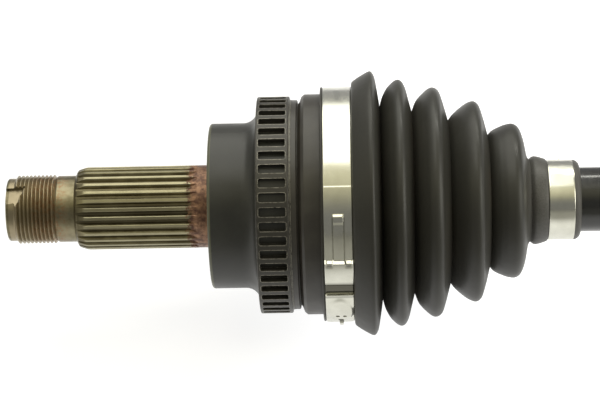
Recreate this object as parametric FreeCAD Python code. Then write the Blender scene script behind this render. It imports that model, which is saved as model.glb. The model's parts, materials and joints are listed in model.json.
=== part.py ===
"""Front-wheel drive shaft: a fixed ball joint at the wheel, a solid axle bar and a plunging tripod joint at
the gearbox. Millimetres, +Z up. +X runs along the shaft from the wheel to the gearbox. The origin is on the
axis, in the plane of the shoulder that bears against the wheel bearing. Azimuths are counted from +Y
towards +Z.
"""
import math
import os

import FreeCAD
import Part

# Wheel stub, from its tip to the shoulder
STUB_LENGTH = 77.4
PILOT_R = 11.9
PILOT_LENGTH = 3.4
THREAD_R = 13.0
THREAD_PITCH = 1.5
THREAD_TURNS = 10
NECK_R = 12.6
HUB_SPLINE_LENGTH = 51.4
HUB_SPLINE_TEETH = 29
HUB_SPLINE_R = 15.7
HUB_SPLINE_DEPTH = 1.3
HUB_SPLINE_LEAD = 4.4
HUB_SPLINE_STEP = 1.0
HUB_SPLINE_TURN = 3.6
PLAIN_BAND = 4.6
RUNOUT_LENGTH = 4.9
CENTRE_HOLE_R = 3.4
CENTRE_HOLE_DEPTH = 5.0
STAKE_LENGTH = 7.0
STAKE_DEPTH = 1.9
STAKE_RISE = 4.0
STAKE_SKEW = 24.0
STAKE_WALL_AZIMUTH = 107.0
STAKE_FLOOR_TURN = 6.4

# Ball joint
BALL_COUNT = 6
BALL_R = 8.0
BALL_PITCH_R = 27.0
TRACK_OFFSET = 4.0
TRACK_FIT = 0.08
RACE_TRACK_FIT = 0.16
CAGE_CROWN = 3.0
CAGE_DEPTH = 1.8
CAGE_HALF_WIDTH = 13.5
SPHERE_FIT = 0.1
WINDOW_LENGTH = 21.0
WINDOW_FIT = 0.4
WINDOW_CORNER_R = 3.0
RACE_HALF_WIDTH = 11.0
JOINT_DEPTH = 20.0
MOUTH_LAND = 9.0
MOUTH_WALL = 4.45
CAVITY_BACK = 24.2

# Bell and sensor ring
NOSE_R = 31.4
NOSE_LENGTH = 12.7
FLARE_R = 5.6
BELL_WALL = 3.5
RING_TEETH = 48
RING_HEIGHT = 2.4
RING_WIDTH = 12.2
RING_WINDOW_WIDTH = 10.0
RING_WINDOW_SHARE = 0.62
RING_WINDOW_CORNER_R = 0.7
RING_LIP = 1.1
RING_LIP_WIDTH = 0.7
GROOVE_WIDTH = 4.0
GROOVE_DEPTH = 0.4
RIM_HEIGHT = 3.1
RIM_WIDTH = 19.8

# Axle bar
BAR_R = 12.25
BAR_SPLINE_R = 11.2
BAR_SPLINE_DEPTH = 0.9
BAR_SPLINE_TEETH = 28
BAR_OVERRUN = 4.0
BAR_CHAMFER = 1.2
BAR_NECK_R = 10.2
BAR_NECK_LENGTH = 80.0
BAR_SHOULDER_GAP = 2.0
SPLINE_FIT = 0.02
JOINT_SPAN = 370.0
RING_WIRE = 1.6
RING_GROOVE_DEPTH = 1.3
RING_PROUD = 1.1
RING_PLAY = 0.1
RING_GAP_DEG = 24.0

# Boots and their band clamps
WALL = 2.0
CUFF_WALL = 1.45
COLLAR_WALL = 1.85
SEAT_FIT = 0.05
LIP_WIDTH = 1.0
LIP_HEIGHT = 1.1
COLLAR_LIP_WIDTH = 2.7
CLAMP_GAP = 0.1
CUFF_START = 12.9
CLAMP_WIDTH = 10.5
SMALL_CLAMP_WIDTH = 9.6
COLLAR_NECK = 6.4
BOOT_LENGTH = 67.1
BOOT_GROOVE_DEPTH = 0.5
BOOT_GROOVE_WIDTH = 3.0
BAND = 0.95
BAND_STEP = 0.8
BRIDGE_HEIGHT = 1.4
BRIDGE_LENGTH = 10.6
DIP_LENGTH = 5.0
TAB_LENGTH = 26.0
TONGUE_LENGTH = 17.0
TONGUE_WIDTH = 3.3
LARGE_CLAMP_AZIMUTH = 177.7
SMALL_CLAMP_AZIMUTH = -30.0

# Tripod joint
ROLLER_COUNT = 3
ROLLER_PITCH_R = 20.5
ROLLER_R = 15.5
ROLLER_WIDTH = 10.0
ROLLER_FIT = 0.45
TRUNNION_R = 8.5
NEEDLE_R = 1.25
NEEDLE_COUNT = 22
NEEDLE_FIT = 0.04
SPIDER_R = 15.2
SPIDER_HALF_WIDTH = 10.5
SPIDER_COLLAR_R = 12.0
WASHER_R = 12.4
WASHER_THICK = 0.6
CLIP_THICK = 0.8
CLIP_GROOVE_DEPTH = 0.6
CLIP_PROUD = 1.0
TIP_LENGTH = 0.9
SIDE_PLAY = 0.1
PLUNGE = 15.0

# Tripod housing
PLUNGE_RESERVE = 5.5
TRACK_ROOF_FIT = 1.4
TULIP_BORE_R = 23.0
TULIP_FLARE = 5.0
TULIP_FLARE_DEPTH = 8.0
TULIP_FLOOR = 12.0
SPIGOT_WALL = 3.2
SPIGOT_LENGTH = 12.0
LOBE_WALL = 9.2
SCALLOP_R = 21.0
SCALLOP_DEPTH = 10.3
BACK_CONE = 8.0
JOURNAL_R = 17.5
JOURNAL_LENGTH = 18.0
GEAR_NECK_LENGTH = 4.0
GEAR_SPLINE_R = 13.5
GEAR_SPLINE_DEPTH = 1.0
GEAR_SPLINE_TEETH = 27
GEAR_SPLINE_LENGTH = 41.0
GEAR_RING_INSET = 8.0

# Inner boot
INNER_CLAMP_WIDTH = 9.5
INNER_BOOT_LENGTH = 62.0
INNER_COLLAR_NECK = 5.0
INNER_CLAMP_AZIMUTH = 20.0
INNER_SMALL_AZIMUTH = 110.0

# Folds of a boot, from the cuff to the collar. Each point is its share of the folded length, its height over
# the straight line from the cuff's seat to the neck, and the radius that rounds it.
FOLDS = (
    (0.009, 3.0, 4.0), (0.117, 12.1, 2.4),
    (0.165, -2.5, 0.7), (0.201, 5.5, 5.0), (0.290, 13.1, 3.2),
    (0.347, 0.8, 0.7), (0.393, 8.0, 5.0), (0.490, 15.7, 3.6),
    (0.552, 2.7, 0.7), (0.611, 8.5, 6.0), (0.712, 16.1, 3.9),
    (0.770, 3.0, 0.7), (0.826, 7.1, 6.0), (0.943, 13.5, 4.0),
)
INNER_FOLDS = (
    (0.020, 0.6, 1.0), (0.090, 4.4, 1.6),
    (0.170, -3.4, 0.7), (0.210, 3.0, 2.0), (0.260, 7.0, 1.6),
    (0.335, -0.9, 0.7), (0.375, 5.2, 2.0), (0.425, 9.0, 1.6),
    (0.500, 0.4, 0.7), (0.540, 6.2, 2.0), (0.590, 9.8, 1.6),
    (0.665, 0.9, 0.7), (0.705, 6.2, 2.0), (0.755, 9.4, 1.6),
    (0.830, 0.8, 0.7), (0.870, 4.9, 2.0), (0.920, 7.6, 1.6),
)

# Places along the shaft that follow from the sizes above
SEAT_X = NOSE_LENGTH + FLARE_R
GROOVE_X = SEAT_X + RING_WIDTH + RING_LIP_WIDTH
RIM_X = GROOVE_X + GROOVE_WIDTH
FACE_X = RIM_X + RIM_WIDTH
JOINT_X = FACE_X - JOINT_DEPTH
RACE_FACE_X = JOINT_X - RACE_HALF_WIDTH
SHOULDER_X = JOINT_X + RACE_HALF_WIDTH
TRIPOD_X = JOINT_X + JOINT_SPAN
MOUTH_X = TRIPOD_X - ROLLER_R - PLUNGE - PLUNGE_RESERVE
FLOOR_X = TRIPOD_X + ROLLER_R + PLUNGE + PLUNGE_RESERVE
BACK_X = FLOOR_X + TULIP_FLOOR
JOURNAL_X = BACK_X + BACK_CONE
GEAR_SPLINE_X = JOURNAL_X + JOURNAL_LENGTH + GEAR_NECK_LENGTH
GEAR_END_X = GEAR_SPLINE_X + GEAR_SPLINE_LENGTH

# Radii that follow from the sizes above
TRACK_R = math.hypot(BALL_PITCH_R, TRACK_OFFSET)
CAGE_OUTER_R = BALL_PITCH_R + CAGE_CROWN
CAGE_INNER_R = BALL_PITCH_R - CAGE_DEPTH
RING_SEAT_R = TRACK_R + BALL_R + BELL_WALL
RIM_R = RING_SEAT_R + RIM_HEIGHT
CUFF_SEAT_R = RIM_R + SEAT_FIT + CUFF_WALL
SMALL_SEAT_R = BAR_R + SEAT_FIT + COLLAR_WALL
TRACK_HALF = ROLLER_R + ROLLER_FIT
ROLLER_BORE_R = TRUNNION_R + 2 * NEEDLE_R + 2 * NEEDLE_FIT
WASHER_FOOT = ROLLER_PITCH_R + ROLLER_WIDTH / 2 + SIDE_PLAY
TRUNNION_TIP = WASHER_FOOT + WASHER_THICK + CLIP_THICK + 2 * SIDE_PLAY + TIP_LENGTH
TRACK_ROOF = TRUNNION_TIP + TRACK_ROOF_FIT
ROOF_CORNER_R = math.hypot(TRACK_ROOF, math.sqrt(TRACK_HALF**2 - (TRACK_ROOF - ROLLER_PITCH_R) ** 2))
SPIGOT_R = ROOF_CORNER_R + SPIGOT_WALL
LOBE_R = ROOF_CORNER_R + LOBE_WALL
INNER_CUFF_SEAT_R = SPIGOT_R + SEAT_FIT + CUFF_WALL

X_AXIS = FreeCAD.Vector(1, 0, 0)
ORIGIN = FreeCAD.Vector(0, 0, 0)
PARTS = "parts"


def at(x, r, azimuth=90.0):
    """A point at distance r from the shaft's axis."""
    a = math.radians(azimuth)
    return FreeCAD.Vector(x, r * math.cos(a), r * math.sin(a))


def save(name, shape):
    """Writes one sub-part, and says how many solids it holds and how large they are."""
    solids = shape.Solids
    good = all(s.isValid() and s.isClosed() for s in solids)
    volume = sum(s.Volume for s in solids)
    print(f"{name:22s} {len(solids):3d} solids {volume:11.1f} mm3 {'' if good else 'BAD'}")
    out = solids[0] if len(solids) == 1 else Part.makeCompound(solids)
    out.exportStep(os.path.join(PARTS, name + ".step"))


def corner(before, here, after, fillet):
    """Start, middle and end of the arc that rounds one corner of an outline."""
    if fillet <= 0:
        return here, None, here
    back = (before - here).normalize()
    on = (after - here).normalize()
    half = back.getAngle(on) / 2
    bisector = (back + on).normalize()
    reach = fillet / math.tan(half)
    return here + back * reach, here + bisector * (fillet / math.sin(half) - fillet), here + on * reach


def outline_wire(points):
    """A closed wire of lines and tangent arcs through points (x, r) or (x, r, fillet)."""
    places = [FreeCAD.Vector(p[0], 0, p[1]) for p in points]
    count = len(points)
    corners = []
    for i, point in enumerate(points):
        fillet = point[2] if len(point) > 2 else 0
        corners.append(corner(places[i - 1], places[i], places[(i + 1) % count], fillet))
    edges = []
    for i, (start, middle, end) in enumerate(corners):
        if middle is not None:
            edges.append(Part.Arc(start, middle, end).toShape())
        following = corners[(i + 1) % count][0]
        if end.distanceToPoint(following) > 1e-6:
            edges.append(Part.LineSegment(end, following).toShape())
    return Part.Wire(edges)


def turned(points, angle=360.0, start=0.0):
    """A solid of revolution about the shaft's axis. A part turn runs from the azimuth start."""
    solid = Part.Face(outline_wire(points)).revolve(ORIGIN, X_AXIS, angle)
    if angle < 360.0:
        solid.rotate(ORIGIN, X_AXIS, start - 90.0)
    return solid


def tube(x0, x1, outer, inner=0.0):
    """A plain bar or ring along the axis."""
    solid = Part.makeCylinder(outer, x1 - x0, at(x0, 0), X_AXIS)
    if inner:
        solid = solid.cut(Part.makeCylinder(inner, x1 - x0, at(x0, 0), X_AXIS))
    return solid


def open_ring(x0, x1, outer, inner, gap_azimuth):
    """A retaining ring with a gap."""
    points = [(x0, inner), (x0, outer), (x1, outer), (x1, inner)]
    return turned(points, 360.0 - RING_GAP_DEG, gap_azimuth + RING_GAP_DEG / 2)


def spline_bar(x0, x1, tip_r, depth, teeth, grow=0.0, turn=0.0):
    """A splined prism with sloping flanks and bevelled crests, its first tooth at the azimuth turn. All its
    surfaces are moved out by grow.
    """
    pitch = 360.0 / teeth
    flank = ((-0.38, 1.0), (-0.21, 0.2), (-0.13, 0.0))
    points = []
    for i in range(teeth):
        for share, drop in flank + tuple((-share, drop) for share, drop in flank[::-1]):
            points.append(at(x0, tip_r + grow - drop * depth, turn + (i + share) * pitch))
    face = Part.Face(Part.makePolygon(points + points[:1]))
    return face.extrude(X_AXIS * (x1 - x0))


def around(shape, count, start=0.0):
    """Copies of a shape about the shaft's axis."""
    copies = []
    for i in range(count):
        copy = shape.copy()
        copy.rotate(ORIGIN, X_AXIS, start + i * 360.0 / count)
        copies.append(copy)
    return copies


def trimmed_spline(x0, x1, tip_r, depth, teeth, chamfer):
    """A splined bar with chamfered ends."""
    ends = turned([(x0, 0), (x0, tip_r - chamfer), (x0 + chamfer, tip_r), (x1 - chamfer, tip_r),
                   (x1, tip_r - chamfer), (x1, 0)])
    return spline_bar(x0, x1, tip_r, depth, teeth).common(ends)


def threaded_end():
    """Pilot, thread and neck. The thread's turns are closed grooves."""
    depth = 0.6134 * THREAD_PITCH
    flank = THREAD_PITCH * 0.4375
    x = PILOT_LENGTH - STUB_LENGTH
    root = THREAD_R - depth
    outline = [(-STUB_LENGTH, 0), (-STUB_LENGTH, PILOT_R, 0.8), (x - 0.3, PILOT_R), (x, root)]
    for _ in range(THREAD_TURNS):
        outline += [(x + flank, THREAD_R), (x + THREAD_PITCH - flank, THREAD_R), (x + THREAD_PITCH, root)]
        x += THREAD_PITCH
    outline += [(x + 1.0, NECK_R), (1 - HUB_SPLINE_LENGTH, NECK_R), (1 - HUB_SPLINE_LENGTH, 0)]
    return turned(outline)


def hub_spline():
    """Spline with a rounded lead-in, its run-out, and the plain band beside the shoulder."""
    x0 = -HUB_SPLINE_LENGTH
    band_x = -PLAIN_BAND
    root = HUB_SPLINE_R - HUB_SPLINE_DEPTH
    lead = turned([
        (x0, 0), (x0, NECK_R, 0.4), (x0 + HUB_SPLINE_STEP, root + HUB_SPLINE_STEP / 4, 1.5),
        (x0 + HUB_SPLINE_LEAD, HUB_SPLINE_R, 5.0), (1, HUB_SPLINE_R), (1, 0),
    ])
    runout = turned([
        (band_x - RUNOUT_LENGTH, 0), (band_x - RUNOUT_LENGTH, root - 0.3), (band_x, HUB_SPLINE_R),
        (1, HUB_SPLINE_R), (1, 0),
    ])
    teeth = spline_bar(
        x0 - 1, band_x, HUB_SPLINE_R + 0.05, HUB_SPLINE_DEPTH, HUB_SPLINE_TEETH, turn=HUB_SPLINE_TURN)
    return teeth.common(lead).fuse(runout)


def stake_notch():
    """The notch that the hub nut's collar is staked into: a wall along a radius, a floor that comes up to the
    thread away from it, and a skew end.
    """
    reach = 3 * THREAD_R
    end_x = STAKE_LENGTH - STUB_LENGTH
    wall = Part.makeBox(3 * reach, 2 * reach, 4 * reach, FreeCAD.Vector(-2 * reach, -2 * reach, -2 * reach))
    wall.rotate(ORIGIN, X_AXIS, -STAKE_FLOOR_TURN)
    floor = Part.makeBox(2 * reach, 4 * reach, reach, FreeCAD.Vector(-reach, -2 * reach, 0))
    floor.rotate(ORIGIN, FreeCAD.Vector(0, 1, 0), -STAKE_RISE)
    floor.translate(FreeCAD.Vector(end_x, 0, THREAD_R - STAKE_DEPTH))
    end = Part.makeBox(reach, 4 * reach, 4 * reach, FreeCAD.Vector(-reach, -2 * reach, -2 * reach))
    end.rotate(ORIGIN, FreeCAD.Vector(0, 0, 1), -STAKE_SKEW)
    end.translate(FreeCAD.Vector(end_x, 0, 0))
    notch = wall.common(floor).common(end)
    notch.rotate(ORIGIN, X_AXIS, STAKE_WALL_AZIMUTH + STAKE_FLOOR_TURN - 90.0)
    return notch


def ball_tracks(centre_x, tube_r):
    """Round tracks in planes through the axis. Two opposite tracks are one torus."""
    ring = Part.makeTorus(TRACK_R, tube_r, at(centre_x, 0), FreeCAD.Vector(0, 0, 1))
    rings = []
    for i in range(BALL_COUNT // 2):
        copy = ring.copy()
        copy.rotate(ORIGIN, X_AXIS, i * 360.0 / BALL_COUNT)
        rings.append(copy)
    return rings


def bell():
    """Outer shape of the wheel joint's housing."""
    groove_r = RING_SEAT_R - GROOVE_DEPTH
    return turned([
        (0, 0), (0, NOSE_R, 1.2), (SEAT_X, NOSE_R, FLARE_R), (SEAT_X, RING_SEAT_R), (GROOVE_X, RING_SEAT_R),
        (GROOVE_X + GROOVE_DEPTH, groove_r), (RIM_X - 1.2, groove_r, 0.6), (RIM_X - 0.2, RIM_R - 0.9),
        (RIM_X + 0.9, RIM_R, 0.6), (FACE_X, RIM_R, 0.6), (FACE_X, 0),
    ])


def outer_joint_housing():
    """The wheel side forging: bell with its inner tracks, shoulder, hub spline and thread."""
    land_r = math.sqrt((CAGE_OUTER_R + SPHERE_FIT) ** 2 - MOUTH_LAND**2)
    mouth = turned([
        (JOINT_X + MOUTH_LAND, 0), (JOINT_X + MOUTH_LAND, land_r), (FACE_X, RIM_R - MOUTH_WALL),
        (FACE_X + 1, RIM_R - MOUTH_WALL), (FACE_X + 1, 0),
    ])
    inside = tube(JOINT_X - CAVITY_BACK, FACE_X + 1, RIM_R + 1)
    forging = bell().fuse(threaded_end().fuse(hub_spline()))
    forging = forging.cut(stake_notch())
    hollows = [Part.makeSphere(CAGE_OUTER_R + SPHERE_FIT, at(JOINT_X, 0)), mouth]
    for hollow in hollows + ball_tracks(JOINT_X + TRACK_OFFSET, BALL_R + TRACK_FIT):
        forging = forging.cut(hollow.common(inside))
    hole = Part.makeCone(CENTRE_HOLE_R, 0.4, CENTRE_HOLE_DEPTH, at(-STUB_LENGTH, 0), X_AXIS)
    return forging.cut(hole).removeSplitter()


def sensor_ring():
    """Ring for the wheel speed sensor: a band with a row of windows and a thin lip."""
    x1 = SEAT_X + RING_WIDTH
    ring_r = RING_SEAT_R + RING_HEIGHT
    ring = turned([
        (SEAT_X, RING_SEAT_R), (SEAT_X, ring_r, 0.5), (x1, ring_r, 0.5), (x1, RING_SEAT_R + RING_LIP),
        (GROOVE_X, RING_SEAT_R + RING_LIP), (GROOVE_X, RING_SEAT_R),
    ])
    width = RING_WINDOW_SHARE * 2 * math.pi * ring_r / RING_TEETH
    window_x = SEAT_X + (RING_WIDTH - RING_WINDOW_WIDTH) / 2
    corner_place = FreeCAD.Vector(window_x, -width / 2, RING_SEAT_R - RING_HEIGHT)
    window = Part.makeBox(RING_WINDOW_WIDTH, width, 3 * RING_HEIGHT, corner_place)
    upright = [e for e in window.Edges if abs(e.Vertexes[0].Z - e.Vertexes[1].Z) > RING_HEIGHT]
    window = window.makeFillet(RING_WINDOW_CORNER_R, upright)
    return ring.cut(Part.makeCompound(around(window, RING_TEETH, 180.0 / RING_TEETH)))


def ball_cage():
    """Spherical cage with one window for each ball."""
    cage = Part.makeSphere(CAGE_OUTER_R, at(JOINT_X, 0)).cut(Part.makeSphere(CAGE_INNER_R, at(JOINT_X, 0)))
    cage = cage.common(tube(JOINT_X - CAGE_HALF_WIDTH, JOINT_X + CAGE_HALF_WIDTH, CAGE_OUTER_R + 1))
    half = BALL_R + WINDOW_FIT
    floor_y = CAGE_INNER_R / 2
    window = Part.makeBox(
        2 * half, CAGE_OUTER_R, WINDOW_LENGTH, FreeCAD.Vector(JOINT_X - half, floor_y, -WINDOW_LENGTH / 2))
    along_y = [e for e in window.Edges if abs(e.Vertexes[0].Y - e.Vertexes[1].Y) > 1]
    window = window.makeFillet(WINDOW_CORNER_R, along_y)
    return cage.cut(Part.makeCompound(around(window, BALL_COUNT)))


def inner_race():
    """Inner race with its tracks and a splined bore."""
    race = Part.makeSphere(CAGE_INNER_R - SPHERE_FIT, at(JOINT_X, 0))
    race = race.common(tube(RACE_FACE_X, SHOULDER_X, CAGE_INNER_R))
    race = race.cut(Part.makeCompound(ball_tracks(JOINT_X - TRACK_OFFSET, BALL_R + RACE_TRACK_FIT)))
    bore = spline_bar(
        RACE_FACE_X - 1, SHOULDER_X + 1, BAR_SPLINE_R, BAR_SPLINE_DEPTH, BAR_SPLINE_TEETH, SPLINE_FIT)
    return race.cut(bore)


def balls():
    """The balls at rest, each in its own sub-part."""
    for i in range(BALL_COUNT):
        save(f"ball_{i + 1}", Part.makeSphere(BALL_R, at(JOINT_X, BALL_PITCH_R, i * 360.0 / BALL_COUNT)))


def bar_ring_places():
    """Left faces of the grooves on the bar: beside the race, and on both sides of the spider."""
    step = RING_WIRE + RING_PLAY
    spider_0 = TRIPOD_X - SPIDER_HALF_WIDTH
    spider_1 = TRIPOD_X + SPIDER_HALF_WIDTH
    return RACE_FACE_X - step, spider_0 - step, spider_1 + RING_PLAY


def bar_ring(x):
    """One retaining ring of the bar."""
    floor_r = BAR_SPLINE_R - RING_GROOVE_DEPTH + SEAT_FIT
    return open_ring(x + SEAT_FIT, x + RING_WIRE - SEAT_FIT, BAR_SPLINE_R + RING_PROUD, floor_r, 90.0)


def boot_seat(start, width):
    """A shallow groove in the bar that a boot's collar grips."""
    low = BAR_R - BOOT_GROOVE_DEPTH
    x0 = start + (width - BOOT_GROOVE_WIDTH) / 2
    x1 = x0 + BOOT_GROOVE_WIDTH
    return [(x0, BAR_R), (x0, low), (x1, low), (x1, BAR_R)]


def axle_bar():
    """The shaft proper: splined at both ends, with ring grooves and seats for both boots."""
    neck_x = TRIPOD_X - SPIDER_HALF_WIDTH - BAR_NECK_LENGTH
    end_x = TRIPOD_X - SPIDER_HALF_WIDTH - RING_WIRE - BAR_SHOULDER_GAP
    outline = [(SHOULDER_X, 0), (SHOULDER_X, BAR_R, 0.4)]
    outline += boot_seat(outer_collar_x(), SMALL_CLAMP_WIDTH)
    outline += boot_seat(inner_collar_x() - SMALL_CLAMP_WIDTH, SMALL_CLAMP_WIDTH)
    outline += [(neck_x - 6, BAR_R, 8), (neck_x, BAR_NECK_R, 8), (end_x, BAR_NECK_R), (end_x, 0)]
    bar = turned(outline)
    left_x = RACE_FACE_X - BAR_OVERRUN
    right_x = TRIPOD_X + SPIDER_HALF_WIDTH + BAR_OVERRUN
    for x0, x1 in ((left_x, SHOULDER_X + 1 + BAR_CHAMFER), (end_x - 1 - BAR_CHAMFER, right_x)):
        teeth = trimmed_spline(x0, x1, BAR_SPLINE_R, BAR_SPLINE_DEPTH, BAR_SPLINE_TEETH, BAR_CHAMFER)
        bar = bar.fuse(teeth)
    for x in bar_ring_places():
        bar = bar.cut(tube(x, x + RING_WIRE, BAR_R + 1, BAR_SPLINE_R - RING_GROOVE_DEPTH))
    return bar


def moved_in(points, thick):
    """The same open outline moved towards the axis by thick. Crests get tighter and valleys wider."""
    places = [FreeCAD.Vector(p[0], 0, p[1]) for p in points]
    moved = []
    for i in range(1, len(points) - 1):
        before = (places[i] - places[i - 1]).normalize()
        after = (places[i + 1] - places[i]).normalize()
        normal_before = FreeCAD.Vector(before.z, 0, -before.x)
        normal_after = FreeCAD.Vector(after.z, 0, -after.x)
        bisector = (normal_before + normal_after).normalize()
        place = places[i] + bisector * (thick / bisector.dot(normal_before))
        crest = before.x * after.z - before.z * after.x < 0
        fillet = max(points[i][2] - thick, 0.3) if crest else points[i][2] + thick
        moved.append((place.x, place.z, fillet))
    return moved


def bellows(start, cuff_seat, cuff_bore, clamp_width, face, length, folds, neck):
    """A moulded boot drawn from its cuff, at start, towards growing x, with its collar on the bar."""
    seat_0 = start + LIP_WIDTH
    seat_1 = seat_0 + clamp_width + 2 * CLAMP_GAP
    neck_r = SMALL_SEAT_R + LIP_HEIGHT + 0.9
    collar = seat_1 + length + neck
    end = collar + SMALL_CLAMP_WIDTH + 2 * CLAMP_GAP
    waves = []
    for share, height, fillet in folds:
        line = cuff_seat + (neck_r - cuff_seat) * share
        waves.append((seat_1 + share * length, line + height, fillet))
    waves.append((seat_1 + length, neck_r, 0.8))
    outer = [
        (start, cuff_seat + LIP_HEIGHT), (seat_0, cuff_seat + LIP_HEIGHT), (seat_0, cuff_seat),
        (seat_1, cuff_seat),
    ]
    collar_points = [
        (collar, SMALL_SEAT_R + LIP_HEIGHT), (collar, SMALL_SEAT_R), (end, SMALL_SEAT_R),
        (end, SMALL_SEAT_R + LIP_HEIGHT), (end + COLLAR_LIP_WIDTH, SMALL_SEAT_R + LIP_HEIGHT, 0.5),
    ]
    bore = BAR_R + SEAT_FIT
    inner = moved_in([outer[-1]] + waves + collar_points[:1], WALL)
    closing = [(end + COLLAR_LIP_WIDTH, bore), (collar - LIP_WIDTH, bore)]
    closing += inner[::-1] + [(face, cuff_bore), (start, cuff_bore)]
    return turned(outer + waves + collar_points + closing)


def boot_cuff_x():
    """Where the outer boot's cuff starts."""
    return FACE_X - CUFF_START


def outer_collar_x():
    """Where the outer boot's small clamp starts."""
    return boot_cuff_x() + LIP_WIDTH + CLAMP_WIDTH + 3 * CLAMP_GAP + BOOT_LENGTH + COLLAR_NECK


def inner_cuff_x():
    """The inner boot's cuff end. This boot runs from here towards the wheel."""
    return MOUTH_X + SPIGOT_LENGTH - CLAMP_GAP


def inner_collar_x():
    """The inner boot's small clamp, at its gearbox side."""
    cuff = LIP_WIDTH + INNER_CLAMP_WIDTH + 3 * CLAMP_GAP
    return inner_cuff_x() - cuff - INNER_BOOT_LENGTH - INNER_COLLAR_NECK


def outer_boot():
    """The wheel joint's boot: wide cuff on the bell's rim, five folds and a collar on the bar."""
    return bellows(
        boot_cuff_x(), CUFF_SEAT_R, RIM_R + SEAT_FIT, CLAMP_WIDTH, FACE_X + CLAMP_GAP, BOOT_LENGTH, FOLDS,
        COLLAR_NECK)


def inner_boot():
    """The tripod joint's boot, turned end for end: cuff on the housing's spigot, collar on the bar."""
    boot = bellows(
        0, INNER_CUFF_SEAT_R, SPIGOT_R + SEAT_FIT, INNER_CLAMP_WIDTH, SPIGOT_LENGTH, INNER_BOOT_LENGTH,
        INNER_FOLDS, INNER_COLLAR_NECK)
    boot.rotate(ORIGIN, FreeCAD.Vector(0, 0, 1), 180)
    boot.translate(at(inner_cuff_x(), 0))
    return boot


def band_clamp(x, width, seat_r, azimuth, tab):
    """A crimped band clamp: a band, a narrow tongue, a raised bridge and the band's free end."""
    inner = seat_r + SEAT_FIT
    outer = inner + BAND
    middle = x + width / 2
    band = tube(x, x + width, outer, inner)
    degrees = math.degrees(1 / outer)
    tab_start = azimuth + (BRIDGE_LENGTH + DIP_LENGTH) * degrees
    half = TONGUE_WIDTH / 2
    tongue = turned([
        (middle - half, outer - BAND / 2), (middle - half, outer + BAND_STEP / 2, 0.2),
        (middle + half, outer + BAND_STEP / 2, 0.2), (middle + half, outer - BAND / 2),
    ], TONGUE_LENGTH * degrees, azimuth - TONGUE_LENGTH * degrees)
    side = width / 2 - BAND_STEP
    bridge = turned([
        (middle - side, outer - BAND / 2), (middle - side, outer + BRIDGE_HEIGHT, 1.0),
        (middle + side, outer + BRIDGE_HEIGHT, 1.0), (middle + side, outer - BAND / 2),
    ], BRIDGE_LENGTH * degrees, azimuth)
    end = turned([
        (middle - side, outer - BAND / 2), (middle - side, outer + BAND_STEP, 0.3),
        (middle + side, outer + BAND_STEP, 0.3), (middle + side, outer - BAND / 2),
    ], tab * degrees, tab_start)
    return band.fuse([tongue, bridge, end]).removeSplitter()


def spider():
    """Tripod spider: splined hub and trunnions with ring grooves."""
    hub = tube(TRIPOD_X - SPIDER_HALF_WIDTH, TRIPOD_X + SPIDER_HALF_WIDTH, SPIDER_R)
    up = FreeCAD.Vector(0, 0, 1)
    ring_foot = WASHER_FOOT + WASHER_THICK + SIDE_PLAY
    collar_top = ROLLER_PITCH_R - ROLLER_WIDTH / 2 - 2 * SIDE_PLAY
    collar = Part.makeCylinder(SPIDER_COLLAR_R, collar_top, at(TRIPOD_X, 0), up)
    collar = collar.common(tube(
        TRIPOD_X - SPIDER_HALF_WIDTH, TRIPOD_X + SPIDER_HALF_WIDTH, SPIDER_R + SPIDER_COLLAR_R))
    trunnion = Part.makeCylinder(TRUNNION_R, TRUNNION_TIP, at(TRIPOD_X, 0), up)
    tip_edge = [e for e in trunnion.Edges if e.Length > TRUNNION_R and e.BoundBox.ZMin > TRUNNION_TIP - 0.1]
    trunnion = trunnion.makeChamfer(TIP_LENGTH - SIDE_PLAY, tip_edge)
    groove = Part.makeCylinder(TRUNNION_R + 1, CLIP_THICK, at(TRIPOD_X, ring_foot), up)
    core = Part.makeCylinder(TRUNNION_R - CLIP_GROOVE_DEPTH, CLIP_THICK, at(TRIPOD_X, ring_foot), up)
    trunnion = trunnion.cut(groove.cut(core))
    body = hub.fuse(around(collar.fuse(trunnion), ROLLER_COUNT))
    bore = spline_bar(
        TRIPOD_X - SPIDER_HALF_WIDTH - 1, TRIPOD_X + SPIDER_HALF_WIDTH + 1,
        BAR_SPLINE_R, BAR_SPLINE_DEPTH, BAR_SPLINE_TEETH, SPLINE_FIT)
    return body.cut(bore)


def on_trunnion(shape, index):
    """A piece made about the upright trunnion, turned to one of the three."""
    copy = shape.copy()
    copy.rotate(ORIGIN, X_AXIS, index * 360.0 / ROLLER_COUNT)
    return copy


def upright_ring(foot, height, outer, inner):
    """A plain ring about the upright trunnion."""
    up = FreeCAD.Vector(0, 0, 1)
    ring = Part.makeCylinder(outer, height, at(TRIPOD_X, foot), up)
    return ring.cut(Part.makeCylinder(inner, height, at(TRIPOD_X, foot), up))


def roller():
    """Barrel-shaped roller with a plain bore."""
    low = ROLLER_PITCH_R - ROLLER_WIDTH / 2
    barrel = Part.makeSphere(ROLLER_R, at(TRIPOD_X, ROLLER_PITCH_R))
    return barrel.common(upright_ring(low, ROLLER_WIDTH, ROLLER_R + 1, ROLLER_BORE_R))


def needle_set():
    """A full row of needles between trunnion and roller."""
    low = ROLLER_PITCH_R - ROLLER_WIDTH / 2 + SIDE_PLAY
    length = ROLLER_WIDTH - 2 * SIDE_PLAY
    pitch_r = TRUNNION_R + NEEDLE_FIT + NEEDLE_R
    needles = []
    for i in range(NEEDLE_COUNT):
        angle = 2 * math.pi * i / NEEDLE_COUNT
        place = FreeCAD.Vector(TRIPOD_X + pitch_r * math.cos(angle), pitch_r * math.sin(angle), low)
        needles.append(Part.makeCylinder(NEEDLE_R, length, place, FreeCAD.Vector(0, 0, 1)))
    return Part.makeCompound(needles)


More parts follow.
